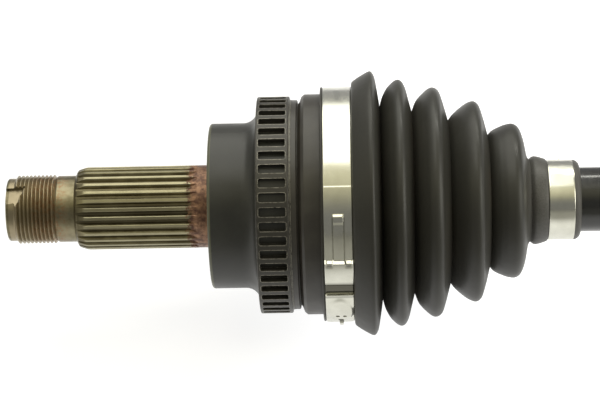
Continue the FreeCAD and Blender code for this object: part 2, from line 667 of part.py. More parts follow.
def roller_clip():
    """Open ring in a trunnion's groove, over the washer."""
    foot = WASHER_FOOT + WASHER_THICK + SIDE_PLAY + SEAT_FIT
    ring = upright_ring(
        foot, CLIP_THICK - 2 * SEAT_FIT, TRUNNION_R + CLIP_PROUD, TRUNNION_R - CLIP_GROOVE_DEPTH + SEAT_FIT)
    gap = Part.makeBox(TRUNNION_R * 2, TRUNNION_R / 2, CLIP_THICK * 2,
                       FreeCAD.Vector(TRIPOD_X, -TRUNNION_R / 4, foot - CLIP_THICK / 2))
    return ring.cut(gap)


def tripod_pieces():
    """Rollers, needles, washers and clips, one sub-part each."""
    washer = upright_ring(WASHER_FOOT, WASHER_THICK, WASHER_R, TRUNNION_R + SEAT_FIT)
    for name, shape in (("roller", roller()), ("needle_set", needle_set()), ("roller_washer", washer),
                        ("roller_circlip", roller_clip())):
        for i in range(ROLLER_COUNT):
            save(f"{name}_{i + 1}", on_trunnion(shape, i))


def roller_track():
    """Room for one roller, above the axis: a round track with a flat roof."""
    length = FLOOR_X - MOUTH_X + 1
    track = Part.makeCylinder(TRACK_HALF, length, at(MOUTH_X - 1, ROLLER_PITCH_R), X_AXIS)
    box = Part.makeBox(
        length, 4 * TRACK_HALF, TRACK_ROOF, FreeCAD.Vector(MOUTH_X - 1, -2 * TRACK_HALF, 0))
    return track.common(box)


def tripod_housing():
    """Three-lobed cup with a round spigot for the boot, a seal journal and the gearbox spline."""
    spigot_end = MOUTH_X + SPIGOT_LENGTH
    spline_root = GEAR_SPLINE_R - GEAR_SPLINE_DEPTH
    cup = turned([
        (MOUTH_X, 0), (MOUTH_X, SPIGOT_R, 0.8), (spigot_end, SPIGOT_R), (spigot_end, LOBE_R, 1.5),
        (BACK_X, LOBE_R, 5.0), (JOURNAL_X, JOURNAL_R + 2.5, 2.0), (JOURNAL_X + 1, JOURNAL_R),
        (JOURNAL_X + JOURNAL_LENGTH, JOURNAL_R, 0.8), (JOURNAL_X + JOURNAL_LENGTH + 1, spline_root),
        (GEAR_SPLINE_X + 2, spline_root), (GEAR_SPLINE_X + 2, 0),
    ])
    scallop_x = spigot_end + 1.5
    scallop_centre = at(scallop_x, LOBE_R - SCALLOP_DEPTH + SCALLOP_R, -90)
    scallop = Part.makeCylinder(SCALLOP_R, JOURNAL_X - scallop_x, scallop_centre, X_AXIS)
    cup = cup.cut(Part.makeCompound(around(scallop, ROLLER_COUNT)))
    bore = turned([
        (MOUTH_X - 1, 0), (MOUTH_X - 1, TULIP_BORE_R + TULIP_FLARE), (MOUTH_X, TULIP_BORE_R + TULIP_FLARE),
        (MOUTH_X + TULIP_FLARE_DEPTH, TULIP_BORE_R), (FLOOR_X, TULIP_BORE_R, 2.0), (FLOOR_X, 0),
    ])
    cup = cup.cut(bore.fuse(around(roller_track(), ROLLER_COUNT)))
    end = trimmed_spline(
        GEAR_SPLINE_X, GEAR_END_X, GEAR_SPLINE_R, GEAR_SPLINE_DEPTH, GEAR_SPLINE_TEETH, BAR_CHAMFER)
    groove_x = GEAR_END_X - GEAR_RING_INSET
    groove = tube(groove_x, groove_x + RING_WIRE, GEAR_SPLINE_R + 1, GEAR_SPLINE_R - RING_GROOVE_DEPTH)
    return cup.fuse(end).cut(groove).removeSplitter()


def gearbox_ring():
    """Snap ring that holds the housing's spline in the gearbox."""
    x = GEAR_END_X - GEAR_RING_INSET
    floor_r = GEAR_SPLINE_R - RING_GROOVE_DEPTH + SEAT_FIT
    return open_ring(x + SEAT_FIT, x + RING_WIRE - SEAT_FIT, GEAR_SPLINE_R + RING_PROUD / 2, floor_r, 90.0)


def clamps():
    """The four band clamps."""
    outer_x = boot_cuff_x() + LIP_WIDTH + CLAMP_GAP
    inner_x = inner_cuff_x() - LIP_WIDTH - CLAMP_GAP - INNER_CLAMP_WIDTH
    small_x = inner_collar_x() - SMALL_CLAMP_WIDTH - CLAMP_GAP
    save("outer_clamp_large", band_clamp(
        outer_x, CLAMP_WIDTH, CUFF_SEAT_R, LARGE_CLAMP_AZIMUTH, TAB_LENGTH))
    save("outer_clamp_small", band_clamp(
        outer_collar_x() + CLAMP_GAP, SMALL_CLAMP_WIDTH, SMALL_SEAT_R, SMALL_CLAMP_AZIMUTH, TAB_LENGTH / 2))
    save("inner_clamp_large", band_clamp(
        inner_x, INNER_CLAMP_WIDTH, INNER_CUFF_SEAT_R, INNER_CLAMP_AZIMUTH, TAB_LENGTH))
    save("inner_clamp_small", band_clamp(
        small_x, SMALL_CLAMP_WIDTH, SMALL_SEAT_R, INNER_SMALL_AZIMUTH, TAB_LENGTH / 2))


def main():
    """Writes every sub-part."""
    os.makedirs(PARTS, exist_ok=True)
    save("outer_joint_housing", outer_joint_housing())
    save("sensor_ring", sensor_ring())
    save("ball_cage", ball_cage())
    balls()
    save("inner_race", inner_race())
    save("axle_bar", axle_bar())
    for name, x in zip(("race_ring", "spider_stop_ring", "spider_end_ring"), bar_ring_places()):
        save(name, bar_ring(x))
    save("outer_boot", outer_boot())
    save("inner_boot", inner_boot())
    clamps()
    save("tripod_spider", spider())
    tripod_pieces()
    save("tripod_housing", tripod_housing())
    save("gearbox_ring", gearbox_ring())


main()
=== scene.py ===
import json
import math

import bmesh
import bpy
from mathutils import Matrix, Vector


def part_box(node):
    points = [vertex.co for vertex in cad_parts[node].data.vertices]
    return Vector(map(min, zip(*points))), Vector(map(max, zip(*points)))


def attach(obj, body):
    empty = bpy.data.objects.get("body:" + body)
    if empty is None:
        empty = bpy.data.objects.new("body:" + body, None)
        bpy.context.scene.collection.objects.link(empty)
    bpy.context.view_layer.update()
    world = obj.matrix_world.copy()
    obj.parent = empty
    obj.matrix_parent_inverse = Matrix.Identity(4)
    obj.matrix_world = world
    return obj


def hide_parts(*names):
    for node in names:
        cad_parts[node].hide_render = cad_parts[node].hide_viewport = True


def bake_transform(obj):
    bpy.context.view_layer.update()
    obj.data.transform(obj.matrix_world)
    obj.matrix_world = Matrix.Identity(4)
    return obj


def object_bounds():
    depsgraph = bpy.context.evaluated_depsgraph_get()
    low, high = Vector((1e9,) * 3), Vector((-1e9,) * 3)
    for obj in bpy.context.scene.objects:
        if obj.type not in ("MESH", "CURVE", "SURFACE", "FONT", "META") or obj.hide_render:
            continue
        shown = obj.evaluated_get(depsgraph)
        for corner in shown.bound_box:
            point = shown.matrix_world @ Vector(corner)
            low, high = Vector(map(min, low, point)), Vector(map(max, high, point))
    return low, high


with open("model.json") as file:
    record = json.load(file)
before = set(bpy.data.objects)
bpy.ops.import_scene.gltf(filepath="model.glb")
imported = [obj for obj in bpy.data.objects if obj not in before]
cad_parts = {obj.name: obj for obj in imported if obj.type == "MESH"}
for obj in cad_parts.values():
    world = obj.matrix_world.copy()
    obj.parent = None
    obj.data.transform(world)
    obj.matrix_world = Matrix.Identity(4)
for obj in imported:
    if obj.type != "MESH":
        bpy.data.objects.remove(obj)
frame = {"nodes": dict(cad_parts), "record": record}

CAD_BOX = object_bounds()
MM = 0.001

# Camera: its place before it is raised round the shaft, the spot on the axis at the picture's centre, how many
# pixels under that spot it aims, its roll, its height in degrees above the horizon, and its lens
CAMERA_X = 0.0566
CAMERA_Y = -0.914
AIM_X = 0.0337
AIM_DROP = 4.5
ROLL_DEG = 1.06
CAMERA_ELEVATION = 30.0
# Studio lights, a row each: name, the place along the shaft they face, angle above the horizon in front, lean
# towards the gearbox, width, depth and radiance
LIGHT_DISTANCE = 0.9
LIGHTS = (
    ("overhead_wide", -0.142, 106.5, 0.0, 0.715, 1.38, 1.75),
    ("overhead_slim", 0.515, 119.0, 0.0, 0.59, 0.13, 11.0),
    ("side_window", 0.09, 40.0, 66.0, 0.7, 0.7, 2.4),
)
# The room round the shaft: angle above the horizon in front, in degrees, brightness, and share of the warm tint
ROOM_TONES = ((20, 0.2, 0.2), (30, 0.28, 0.6), (40, 0.50, 1.0), (50, 0.70, 1.0), (60, 0.82, 1.0), (72, 0.82, 0.8),
              (100, 0.5, 0.2), (140, 0.33, 0.1), (180, 0.35, 0.0))
WARM_TINT = (1.0, 0.95, 0.68)
LIGHT_TINT = (1.0, 0.99, 0.90)
TABLE_ALBEDO = 0.3
TABLE_GLOW = 0.8
TABLE_WASH = 0.25
SENSOR = 36.0
IMAGE_WIDTH = 600
FOCAL_PX = 2400.0

TABLE_SIZE = 12.0
FLOOR_Z = CAD_BOX[0][2]
# How much more brightly the camera sees the room than the shaft does
ROOM_SEEN = 10.0

# Where the gearbox side is bare steel, in metres along the shaft
BARE_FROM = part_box("tripod_housing")[1][0] - 0.065

# Outline of the outer boot's folds, one row of (x, r) in millimetres from valley to valley
OUTER_FOLDS = (
    ((53.8, 43.4), (54.0, 45.9), (55.6, 47.3), (57.3, 48.4), (59.2, 49.5), (60.5, 50.1), (61.4, 50.1), (62.2, 49.2),
     (62.9, 47.4), (63.7, 42.9), (64.6, 36.8)),
    ((64.6, 36.8), (65.5, 40.1), (67.2, 43.4), (68.8, 45.2), (70.3, 46.4), (71.6, 46.8), (72.7, 46.4), (73.6, 45.3),
     (74.5, 43.2), (75.4, 39.7), (76.7, 34.6)),
    ((76.7, 34.6), (78.0, 38.0), (79.4, 39.9), (80.9, 41.4), (82.5, 42.8), (84.0, 43.55), (85.2, 43.5), (86.3, 42.9),
     (87.3, 41.5), (88.5, 37.8), (90.4, 30.9)),
    ((90.4, 30.9), (91.6, 32.6), (93.1, 34.1), (94.6, 35.4), (96.2, 36.6), (97.7, 37.5), (99.2, 38.05), (100.4, 38.0),
     (101.4, 37.3), (102.3, 35.9), (103.7, 31.4), (105.3, 25.0)),
    ((105.3, 25.0), (106.6, 26.5), (108.3, 27.5), (109.9, 28.2), (111.4, 28.8), (112.9, 29.15), (114.4, 29.3),
     (115.7, 28.9), (116.8, 27.9), (117.7, 26.2), (118.6, 23.2), (119.6, 18.2), (120.4, 15.9)),
)

# One flank of a fold of the inner boot, from its valley to its crest, as shares of its length and height
FLANK = ((0.0, 0.0), (0.13, 0.34), (0.34, 0.64), (0.62, 0.87), (1.0, 1.0))
# Valleys and crests of the inner boot, in millimetres, from its cuff to its neck
INNER_ROWS = (
    (370.2, 37.0), (364.6, 40.6), (359.7, 30.4), (354.2, 39.6), (349.4, 29.4), (343.9, 38.1), (339.2, 29.8),
    (333.7, 35.4), (329.0, 24.2), (323.5, 31.5), (318.7, 20.5), (313.4, 26.2), (308.2, 17.0),
)
INNER_CUFF_SEAT = 37.01
INNER_WALL = 1.4
# How far each clamp's band stands over its seat in the boot, in millimetres
BAND = 0.95
# Features of a crimped clamp, as places round the band in millimetres from the top of the tongue
LAP = 0.16
LAP_AT = -10.8
STEP_AT = 17.2
BULGE = 10.6
TAB_AT = 32.9
HOLE_AT = 47.1
HOLE_MIDDLE = 0.35
HOLE_SPREAD = 1.35
HOOK_AT = 53.4
TAB_END = 59.0


def new_object(name, mesh):
    """Puts a mesh in the scene."""
    obj = bpy.data.objects.new(name, mesh)
    bpy.context.scene.collection.objects.link(obj)
    return obj


def finish_mesh(mesh, sharp_deg=32):
    """Consistent outward faces, smooth shading, and sharp edges where the surface really turns."""
    bm = bmesh.new()
    bm.from_mesh(mesh)
    bmesh.ops.remove_doubles(bm, verts=bm.verts, dist=1e-7)
    bmesh.ops.recalc_face_normals(bm, faces=bm.faces)
    bm.to_mesh(mesh)
    bm.free()
    mesh.shade_smooth()
    mesh.set_sharp_from_angle(angle=math.radians(sharp_deg))
    return mesh


def curve_through(points, steps=6):
    """Points on a smooth curve through the given ones, whose ends stay as they are."""
    ends = [points[0]] + list(points) + [points[-1]]
    out = []
    for p0, p1, p2, p3 in zip(ends, ends[1:], ends[2:], ends[3:]):
        for k in range(steps):
            t = k / steps
            a = 2 * t**3 - 3 * t**2 + 1
            b = t**3 - 2 * t**2 + t
            c = -2 * t**3 + 3 * t**2
            d = t**3 - t**2
            out.append(tuple(
                a * q1 + b * (q2 - q0) / 2 + c * q2 + d * (q3 - q1) / 2 for q0, q1, q2, q3 in zip(p0, p1, p2, p3)))
    return out + [tuple(points[-1])]


def lathe(name, outline, segments=200, sharp_deg=32, crease=None):
    """A closed outline of (x, r) in millimetres, turned about the shaft's axis."""
    count = len(outline)
    verts = []
    for k in range(segments):
        a = 2 * math.pi * k / segments
        verts += [(x * MM, -r * MM * math.cos(a), r * MM * math.sin(a)) for x, r in outline]
    faces = []
    for k in range(segments):
        here = k * count
        there = (k + 1) % segments * count
        faces += [(here + i, here + (i + 1) % count, there + (i + 1) % count, there + i) for i in range(count)]
    mesh = bpy.data.meshes.new(name)
    mesh.from_pydata(verts, [], faces)
    if crease:
        layer = mesh.attributes.new("crease", "FLOAT", "POINT")
        layer.data.foreach_set("value", [c for _ in range(segments) for c in crease])
    return new_object(name, finish_mesh(mesh, sharp_deg))


class Look:
    """A procedural material while it is wired up."""

    def __init__(self, name):
        self.material = bpy.data.materials.new(name)
        self.material.use_nodes = True
        self.nodes = self.material.node_tree.nodes
        self.links = self.material.node_tree.links
        self.shader = self.nodes["Principled BSDF"]
        self.place = self.add("ShaderNodeTexCoord").outputs["Object"]
        split = self.add("ShaderNodeSeparateXYZ", self.place)
        self.x, self.y, self.z = split.outputs
        self.radius = self.math("SQRT", self.math("ADD", self.math("MULTIPLY", self.y, self.y),
                                                  self.math("MULTIPLY", self.z, self.z)))
        self.angle = self.math("ARCTAN2", self.z, self.y)

    def add(self, kind, *values, **settings):
        """A node whose first inputs take the values given, which are sockets or numbers."""
        node = self.nodes.new(kind)
        for key, value in settings.items():
            setattr(node, key, value)
        for socket, value in zip(node.inputs, values):
            self.put(socket, value)
        return node

    def put(self, socket, value):
        """Links a socket to a socket, or sets its value."""
        if isinstance(value, bpy.types.NodeSocket):
            self.links.new(value, socket)
        elif value is not None:
            socket.default_value = value

    def math(self, kind, *values, clamp=False):
        """One sum."""
        return self.add("ShaderNodeMath", *values, operation=kind, use_clamp=clamp).outputs[0]

    def span(self, value, low, high, start=0.0, end=1.0, smooth=True):
        """Maps low..high to start..end, clamped."""
        kind = "SMOOTHSTEP" if smooth else "LINEAR"
        node = self.add("ShaderNodeMapRange", value, low, high, start, end, interpolation_type=kind)
        return node.outputs[0]

    def window(self, value, low, high, soft):
        """One between low and high, fading to nothing over soft outside them."""
        return self.math("MULTIPLY", self.span(value, low - soft, low), self.span(value, high, high + soft, 1.0, 0.0))

    def noise(self, per_metre, detail=4.0, rough=0.55, stretch=None, where=None):
        """Noise of a given scale, stretched along some axes if asked."""
        where = where or self.place
        if stretch:
            where = self.add("ShaderNodeMapping", where, (0, 0, 0), (0, 0, 0), stretch).outputs[0]
        node = self.add("ShaderNodeTexNoise")
        self.put(node.inputs["Vector"], where)
        self.put(node.inputs["Scale"], per_metre)
        self.put(node.inputs["Detail"], detail)
        self.put(node.inputs["Roughness"], rough)
        return node.outputs[0]

    def round_place(self, along, turn):
        """Coordinates that run along the shaft and round it, for marks left by turning or rolling."""
        node = self.add("ShaderNodeCombineXYZ", self.math("MULTIPLY", self.x, along),
                        self.math("MULTIPLY", self.angle, turn), self.math("MULTIPLY", self.radius, along))
        return node.outputs[0]

    def mix(self, factor, a, b):
        """Colour a where factor is 0, colour b where it is 1."""
        node = self.nodes.new("ShaderNodeMix")
        node.data_type = "RGBA"
        self.put(node.inputs["Factor"], factor)
        self.put(node.inputs[6], rgba(a))
        self.put(node.inputs[7], rgba(b))
        return node.outputs[2]

    def bump(self, height, distance, strength=1.0, before=None):
        """Small relief. distance is in metres."""
        node = self.nodes.new("ShaderNodeBump")
        self.put(node.inputs["Strength"], strength)
        self.put(node.inputs["Distance"], distance)
        self.put(node.inputs["Height"], height)
        if before:
            self.put(node.inputs["Normal"], before)
        return node.outputs[0]

    def worn_edges(self, radius, low, high):
        """One along sharp edges, zero on plain faces, from how far a rounded edge would turn the surface."""
        rounded = self.nodes.new("ShaderNodeBevel")
        rounded.samples = 6
        rounded.inputs["Radius"].default_value = radius
        plain = self.nodes.new("ShaderNodeNewGeometry").outputs["Normal"]
        match = self.nodes.new("ShaderNodeVectorMath")
        match.operation = "DOT_PRODUCT"
        self.links.new(rounded.outputs[0], match.inputs[0])
        self.links.new(plain, match.inputs[1])
        return self.span(match.outputs["Value"], low, high, 1.0, 0.0)

    def done(self, **inputs):
        """Sets the shader's inputs by name, with _ for a space, and returns the material."""
        for key, value in inputs.items():
            socket = self.shader.inputs[key.replace("_", " ")]
            self.put(socket, rgba(value) if isinstance(value, tuple) and len(value) == 3 else value)
        return self.material


def rgba(colour):
    """A colour with its alpha."""
    return tuple(colour) + (1.0,) if isinstance(colour, tuple) and len(colour) == 3 else colour


def boot_rubber():
    """Moulded black rubber: semi-gloss, faint grain, lighter brown in the valleys as dust and as painted light that
    lifts their shade.
    """
    look = Look("boot_rubber")
    crease = look.add("ShaderNodeAttribute", attribute_name="crease").outputs["Fac"]
    patches = look.noise(60, 3)
    grain = look.noise(2600, 2)
    # Lighter, browner patches in the valleys: dust, and painted light that lifts the valleys' shade.
    dust_and_valley_light = look.math("MULTIPLY", crease, look.span(patches, 0.35, 0.7))
    colour = look.mix(dust_and_valley_light, (0.034, 0.033, 0.028), (0.046, 0.040, 0.030))
    collar = look.math("MAXIMUM", look.window(look.x, 0.1205, 0.1400, 0.002),
                       look.window(look.x, 0.2900, 0.3060, 0.002))
    dusty = look.math("MULTIPLY", collar, look.span(grain, 0.35, 0.6, 0.5, 1.0))
    colour = look.mix(dusty, colour, (0.095, 0.092, 0.086))
    rough = look.span(patches, 0.3, 0.7, 0.36, 0.46)
    rough = look.math("ADD", rough, look.math("MULTIPLY", crease, 0.12))
    normal = look.bump(grain, 0.00002, 0.5)
    normal = look.bump(look.noise(240, 2), 0.0002, 0.25, normal)
    return look.done(Base_Color=colour, Roughness=rough, Normal=normal, Specular_IOR_Level=0.38)


def clamp_steel():
    """Rolled stainless band: warm grey, with fine lines round the shaft, and painted shade in its dip, groove and
    holes.
    """
    look = Look("clamp_steel")
    lines = look.noise(1.0, 3, 0.6, where=look.round_place(9000, 6))
    stains = look.noise(90, 3)
    colour = look.mix(look.span(stains, 0.35, 0.75), (0.76, 0.755, 0.67), (0.66, 0.655, 0.57))
    painted_shade = look.add("ShaderNodeAttribute", attribute_name="painted_shade").outputs["Fac"]
    # Painted shade: dark brown where the band's dip, tongue groove, holes and hook slot lie in shade.
    colour = look.mix(painted_shade, colour, (0.050, 0.045, 0.030))
    rough = look.span(lines, 0.3, 0.7, 0.16, 0.26)
    normal = look.bump(lines, 0.00001, 0.5)
    return look.done(Base_Color=colour, Metallic=1.0, Roughness=rough, Normal=normal, Anisotropic=0.4)


def bar_paint():
    """Gloss black paint over turned steel."""
    look = Look("bar_paint")
    turn_marks = look.noise(1.0, 2, where=look.round_place(700, 1.5))
    specks = look.noise(900, 3)
    rough = look.span(specks, 0.4, 0.75, 0.16, 0.26)
    normal = look.bump(turn_marks, 0.00006, 0.35)
    normal = look.bump(look.noise(500, 2), 0.00003, 0.3, normal)
    return look.done(Base_Color=(0.014, 0.014, 0.013), Roughness=rough, Normal=normal, Coat_Weight=0.35,
                     Coat_Roughness=0.08)


def forged_steel():
    """The wheel side forging: oily bare steel stub with a painted highlight on its spline crests and painted shade in
    their roots, rust at the shoulder, and a satin black bell.
    """
    look = Look("forged_steel")
    patches = look.noise(130, 4)
    fine = look.noise(900, 5, 0.65)
    streaks = look.noise(1.0, 3, where=look.round_place(120, 5))
    oil = look.mix(look.span(patches, 0.35, 0.68), (0.150, 0.128, 0.074), (0.250, 0.222, 0.135))
    oil = look.mix(look.math("MULTIPLY", look.span(streaks, 0.5, 0.75), 0.5), oil, (0.100, 0.080, 0.044))
    on_spline = look.window(look.x, -0.0505, -0.0060, 0.0008)
    # Painted highlight on the spline crests, where polish also brightens the steel, and painted shade in the roots
    # between them.
    crest_highlight = look.math("MULTIPLY", look.span(look.radius, 0.01535, 0.01566), on_spline)
    root_shade = look.math("MULTIPLY", look.span(look.radius, 0.01455, 0.01525, 1.0, 0.0), on_spline)
    stub = look.mix(look.math("MULTIPLY", crest_highlight, 0.6), oil, (0.42, 0.39, 0.255))
    stub = look.mix(look.math("MULTIPLY", root_shade, 0.6), stub, (0.095, 0.080, 0.045))
    neck = look.window(look.x, -0.0585, -0.0518, 0.0012)
    stub = look.mix(look.math("MULTIPLY", neck, look.span(patches, 0.3, 0.6, 0.0, 0.5)), stub, (0.30, 0.27, 0.18))
    thread = look.window(look.x, -0.0760, -0.0592, 0.0004)
    stub = look.mix(look.math("MULTIPLY", thread, 0.8), stub, (0.34, 0.285, 0.19))
    thread_rust = look.math("MULTIPLY", look.window(look.x, -0.0655, -0.0565, 0.004), look.span(fine, 0.4, 0.65))
    stub = look.mix(look.math("MULTIPLY", thread_rust, 0.6), stub, (0.26, 0.13, 0.06))
    rust = look.math("MULTIPLY", look.window(look.x, -0.0095, 0.0010, 0.0030),
                     look.span(look.math("ADD", fine, look.span(look.x, -0.0120, -0.003, -0.25, 0.35)), 0.42, 0.6))
    rust_tone = look.mix(look.span(look.noise(420, 4, 0.6), 0.35, 0.68), (0.115, 0.055, 0.036), (0.36, 0.20, 0.115))
    stub = look.mix(rust, stub, rust_tone)
    grey = look.mix(look.span(patches, 0.35, 0.7), (0.027, 0.027, 0.023), (0.034, 0.034, 0.029))
    rim = look.window(look.x, 0.0314, 0.0600, 0.0005)
    paint = look.mix(rim, grey, look.mix(look.span(streaks, 0.3, 0.7), (0.036, 0.032, 0.027), (0.047, 0.043, 0.035)))
    edge = look.math("MULTIPLY", look.window(look.x, -0.0001, 0.0009, 0.0004), look.span(look.radius, 0.0300, 0.0308))
    paint = look.mix(look.math("MULTIPLY", edge, 0.6), paint, (0.15, 0.15, 0.09))
    on_bell = look.span(look.x, -0.0002, 0.0, smooth=False)
    colour = look.mix(on_bell, stub, paint)
    bare = look.math("SUBTRACT", 1.0, on_bell)
    metal = look.math("MULTIPLY", bare, look.span(rust, 0.0, 1.0, 0.9, 0.45))
    stub_rough = look.math("ADD", look.span(fine, 0.3, 0.7, 0.28, 0.42), look.math("MULTIPLY", rust, 0.06))
    paint_rough = look.span(patches, 0.3, 0.7, 0.35, 0.43)
    rough = look.math("ADD", look.math("MULTIPLY", bare, stub_rough), look.math("MULTIPLY", on_bell, paint_rough))
    pits = look.math("MULTIPLY", fine, look.math("ADD", 0.15, rust))
    normal = look.bump(pits, 0.00012, 0.6)
    normal = look.bump(look.noise(1500, 2), 0.00002, 0.3, normal)
    return look.done(Base_Color=colour, Metallic=metal, Roughness=rough, Normal=normal)


def ring_steel():
    """Sensor ring: dark phosphate, a little lighter where edges are worn."""
    look = Look("ring_steel")
    fine = look.noise(800, 4)
    worn = look.math("MULTIPLY", look.worn_edges(0.0006, 0.90, 0.99), look.span(fine, 0.30, 0.55))
    colour = look.mix(worn, (0.046, 0.043, 0.037), (0.34, 0.32, 0.27))
    rough = look.span(fine, 0.3, 0.7, 0.32, 0.44)
    return look.done(Base_Color=colour, Metallic=0.3, Roughness=rough, Normal=look.bump(fine, 0.00003, 0.4))


def housing_steel():
    """Gearbox side: satin black forging with a ground journal and a bare spline."""
    look = Look("housing_steel")
    patches = look.noise(90, 4)
    fine = look.noise(1100, 4)
    bare = look.span(look.x, BARE_FROM, BARE_FROM + 0.001)
    paint = look.mix(look.span(patches, 0.35, 0.7), (0.022, 0.022, 0.021), (0.032, 0.031, 0.029))
    steel = look.mix(look.span(fine, 0.35, 0.7), (0.36, 0.35, 0.33), (0.26, 0.25, 0.23))
    turned = look.noise(1.0, 2, where=look.round_place(5000, 3))
    rough = look.math("ADD", look.span(fine, 0.3, 0.7, 0.40, 0.50), look.math("MULTIPLY", bare, -0.16))
    normal = look.bump(look.math("MULTIPLY", turned, bare), 0.00001, 0.5)
    normal = look.bump(fine, 0.00004, 0.35, normal)
    return look.done(Base_Color=look.mix(bare, paint, steel), Metallic=bare, Roughness=rough, Normal=normal)


def plain_steel(name, light, dark, rough_low, rough_high):
    """Steel of the pieces inside the joints."""
    look = Look(name)
    fine = look.noise(1400, 4)
    colour = look.mix(look.span(fine, 0.3, 0.7), dark, light)
    rough = look.span(fine, 0.3, 0.7, rough_low, rough_high)
    return look.done(Base_Color=colour, Metallic=1.0, Roughness=rough, Normal=look.bump(fine, 0.00001, 0.3))


def paint_nodes(materials):
    """Gives each CAD node the material of its slot."""
    for part in frame["record"]["subparts"]:
        obj = frame["nodes"][part["node"]]
        for place in obj.material_slots:
            place.material = materials[part["material_slot"]]


def fold_depth(line):
    """How deep each point of a fold lies, from 0 at its crest to 1 in its valley."""
    high = max(r for _, r in line)
    low = min(r for _, r in line)
    return [min(1.0, max(0.0, (high - r) / (high - low) * 1.15 - 0.15)) for _, r in line]


def outer_boot(rubber):
    """The wheel joint's boot."""
    outline = [(42.10, 43.7), (42.15, 44.2), (42.4, 44.5), (42.8, 44.5), (43.0, 44.3), (43.1, 43.4)]
    crease = [0.3] * len(outline)
    outline.append((53.6, 43.4))
    crease.append(0.5)
    for fold in OUTER_FOLDS:
        line = curve_through(fold)[:-1]
        outline += line
        crease += fold_depth(line)
    neck = [(120.8, 15.75), (121.3, 16.1), (121.9, 16.6), (122.8, 16.8), (124.4, 16.5), (125.6, 16.1), (126.6, 15.8),
            (127.1, 15.5), (127.3, 14.2), (137.0, 14.2), (137.05, 15.0), (137.3, 15.2), (138.0, 15.0), (138.7, 14.6),
            (139.3, 14.0), (139.6, 13.2), (139.6, 12.35), (126.3, 12.35), (122.0, 13.9), (118.4, 16.0)]
    inside = [(114.5, 26.3), (109.0, 25.4), (105.5, 21.5), (100.5, 34.6), (95.0, 32.4), (90.3, 28.0), (85.5, 40.0),
              (80.5, 37.6), (76.4, 31.6), (71.8, 43.3), (67.6, 40.4), (64.9, 33.6), (61.2, 46.3), (57.0, 44.6),
              (55.4, 43.0), (55.2, 41.95), (42.10, 41.95)]
    outline += neck + inside
    crease += [0.3] * (len(neck) + len(inside))
    boot = lathe("outer_boot_rubber", outline, crease=crease)
    boot.data.materials.append(rubber)
    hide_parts("outer_boot")
    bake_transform(boot)


def bell_step(steel):
    """The low step beside the sensor ring, with a narrow groove between it and the rim."""
    step = lathe("bell_step", [(30.9, 37.5), (31.05, 39.5), (31.3, 39.8), (33.1, 39.8), (33.4, 39.55), (33.6, 37.5)])
    step.data.materials.append(steel)
    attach(step, "wheel_side")


def fold_line(rows):
    """A smooth line over folds: rows of (x, r) go valley, crest, valley, and so on, one fold after another."""
    line = []
    crease = []
    for (x0, r0), (x1, r1), (x2, r2) in zip(rows[0:-1:2], rows[1::2], rows[2::2]):
        points = [(x0 + (x1 - x0) * a, r0 + (r1 - r0) * b) for a, b in FLANK]
        points += [(x2 + (x1 - x2) * a, r2 + (r1 - r2) * b) for a, b in FLANK[-2::-1]]
        fold = curve_through(points)[:-1]
        line += fold
        crease += fold_depth(fold)
    return line, crease


def inner_boot(rubber):
    """The tripod joint's boot in two halves that meet in its middle valley."""
    seat_r = INNER_CUFF_SEAT
    cuff = [(380.9, seat_r - 1.8), (380.9, seat_r + 0.7), (380.6, seat_r + 1.05), (380.3, seat_r + 1.05),
            (380.0, seat_r + 0.7), (379.9, seat_r), (370.6, seat_r)]
    line, crease = fold_line(INNER_ROWS[:7])
    inside = [(x, r - INNER_WALL) for x, r in INNER_ROWS[6:1:-1]] + [(367.0, seat_r - 3.0), (368.9, seat_r - 2.6),
                                                             (368.9, seat_r - 1.8)]
    wide = lathe("inner_boot_wide_half", cuff + line + [INNER_ROWS[6]] + inside,
                 crease=[0.4] * len(cuff) + crease + [0.4] * (len(inside) + 1))
    line, crease = fold_line(INNER_ROWS[6:])
    neck = [(307.6, 16.5), (305.6, 16.1), (303.4, 15.7), (303.2, 14.2), (293.5, 14.2), (293.4, 15.0),
            (293.1, 15.2), (292.3, 15.0), (291.5, 14.6), (291.0, 14.0), (290.7, 13.2), (290.7, 12.35), (304.2, 12.35),
            (308.0, 14.0)]
    inside = [(x, r - INNER_WALL) for x, r in INNER_ROWS[:5:-1]]
    slim = lathe("inner_boot_slim_half", line + neck + inside[1:],
                 crease=crease + [0.4] * (len(neck) + len(inside) - 1))
    for half in (wide, slim):
        half.data.materials.append(rubber)
        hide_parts("inner_boot")
    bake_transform(slim)
    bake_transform(wide)


def ramp(value, low, high):
    """Smooth step from 0 at low to 1 at high. low may be the larger."""
    t = min(1.0, max(0.0, (value - low) / (high - low)))
    return t * t * (3 - 2 * t)


def clamp_height(u, v, half):
    """How far a clamp's lapped band stands over its plain band, in millimetres. u runs round the band from
    the top of the tongue, v across it from its middle, and half is half its width."""
    side = abs(v)
    high = LAP * ramp(u, LAP_AT, LAP_AT + 0.6) * ramp(u, TAB_END + 1.0, TAB_END)
    if u < STEP_AT + 2.0:
        tongue = (0.42 + 0.30 * ramp(u, 3.6, 2.4)) * ramp(u, -0.4, 0.5) * ramp(side, 2.05, 1.75)
        groove = 0.14 * ramp(side, 1.95, 2.10) * ramp(side, 2.50, 2.30) * ramp(u, 0.4, 1.0)
        high += tongue - groove
    if u > STEP_AT:
        arch = math.cos(math.pi / 2 * min(1.0, (u - STEP_AT) / BULGE)) * ramp(u, STEP_AT, STEP_AT + 0.8)
        bulge = 0.5 + 1.3 * max(arch, 0.0) ** 0.9
        slot = ramp(side, 2.2, 2.6) * ramp(side, half - 0.3, half - 0.9) * ramp(u, STEP_AT + 2.6, STEP_AT + 0.8)
        high = max(high, bulge - 0.45 * slot)
    if u > STEP_AT + BULGE:
        high = -0.15 + 0.65 * ramp(u, STEP_AT + BULGE + 1.4, STEP_AT + BULGE)
    if u > TAB_AT:
        high = tab_height(u, v, half)
    return high


